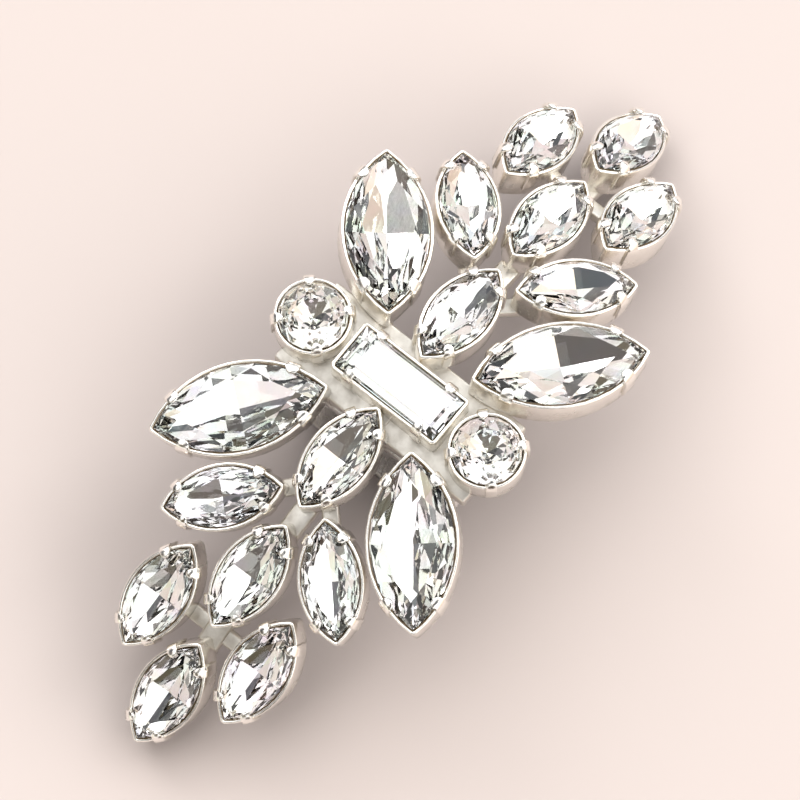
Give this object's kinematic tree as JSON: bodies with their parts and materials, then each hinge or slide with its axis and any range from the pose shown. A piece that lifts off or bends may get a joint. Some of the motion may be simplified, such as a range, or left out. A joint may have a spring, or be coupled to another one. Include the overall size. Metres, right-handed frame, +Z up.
{
  "type": "crystal shoe clip",
  "caption": "Curved spray clip of foil-backed baguette, round and marquise stones in claw cups on a soldered frame, with a spring clip behind.",
  "frame": {"origin": "middle of the bounding box at its base, on the surface that the wing tips and the spring clip's foot stand on", "axes": "+X along the spray towards the wing at the picture's upper right, +Y across it, away from the mouth of the spring clip, +Z up through the stones' tables"},
  "size_m": [0.0572, 0.024, 0.013],
  "materials": {
    "plated_metal": "bright silver-tone plating with a warm tint, lightly worn on claw tips and edges",
    "clip_steel": "nickel-plated spring steel with a fine rolled grain",
    "stone_glass": "clear cut crystal with a silver foil back"
  },
  "bodies": {
    "root": {"setting_frame": "plated_metal", "spring_clip": "clip_steel", "baguette_stone": "stone_glass", "round_stone_front": "stone_glass", "round_stone_back": "stone_glass", "inner_marquise_left": "stone_glass", "inner_marquise_right": "stone_glass", "middle_marquise_left": "stone_glass", "middle_marquise_right": "stone_glass", "tip_marquise_left": "stone_glass", "tip_marquise_right": "stone_glass", "large_marquise_left_front": "stone_glass", "large_marquise_left_back": "stone_glass", "large_marquise_right_front": "stone_glass", "large_marquise_right_back": "stone_glass", "splayed_marquise_left_front": "stone_glass", "splayed_marquise_left_back": "stone_glass", "splayed_marquise_right_front": "stone_glass", "splayed_marquise_right_back": "stone_glass", "outer_marquise_left_front": "stone_glass", "outer_marquise_left_back": "stone_glass", "outer_marquise_right_front": "stone_glass", "outer_marquise_right_back": "stone_glass"}
  },
  "joints": []
}
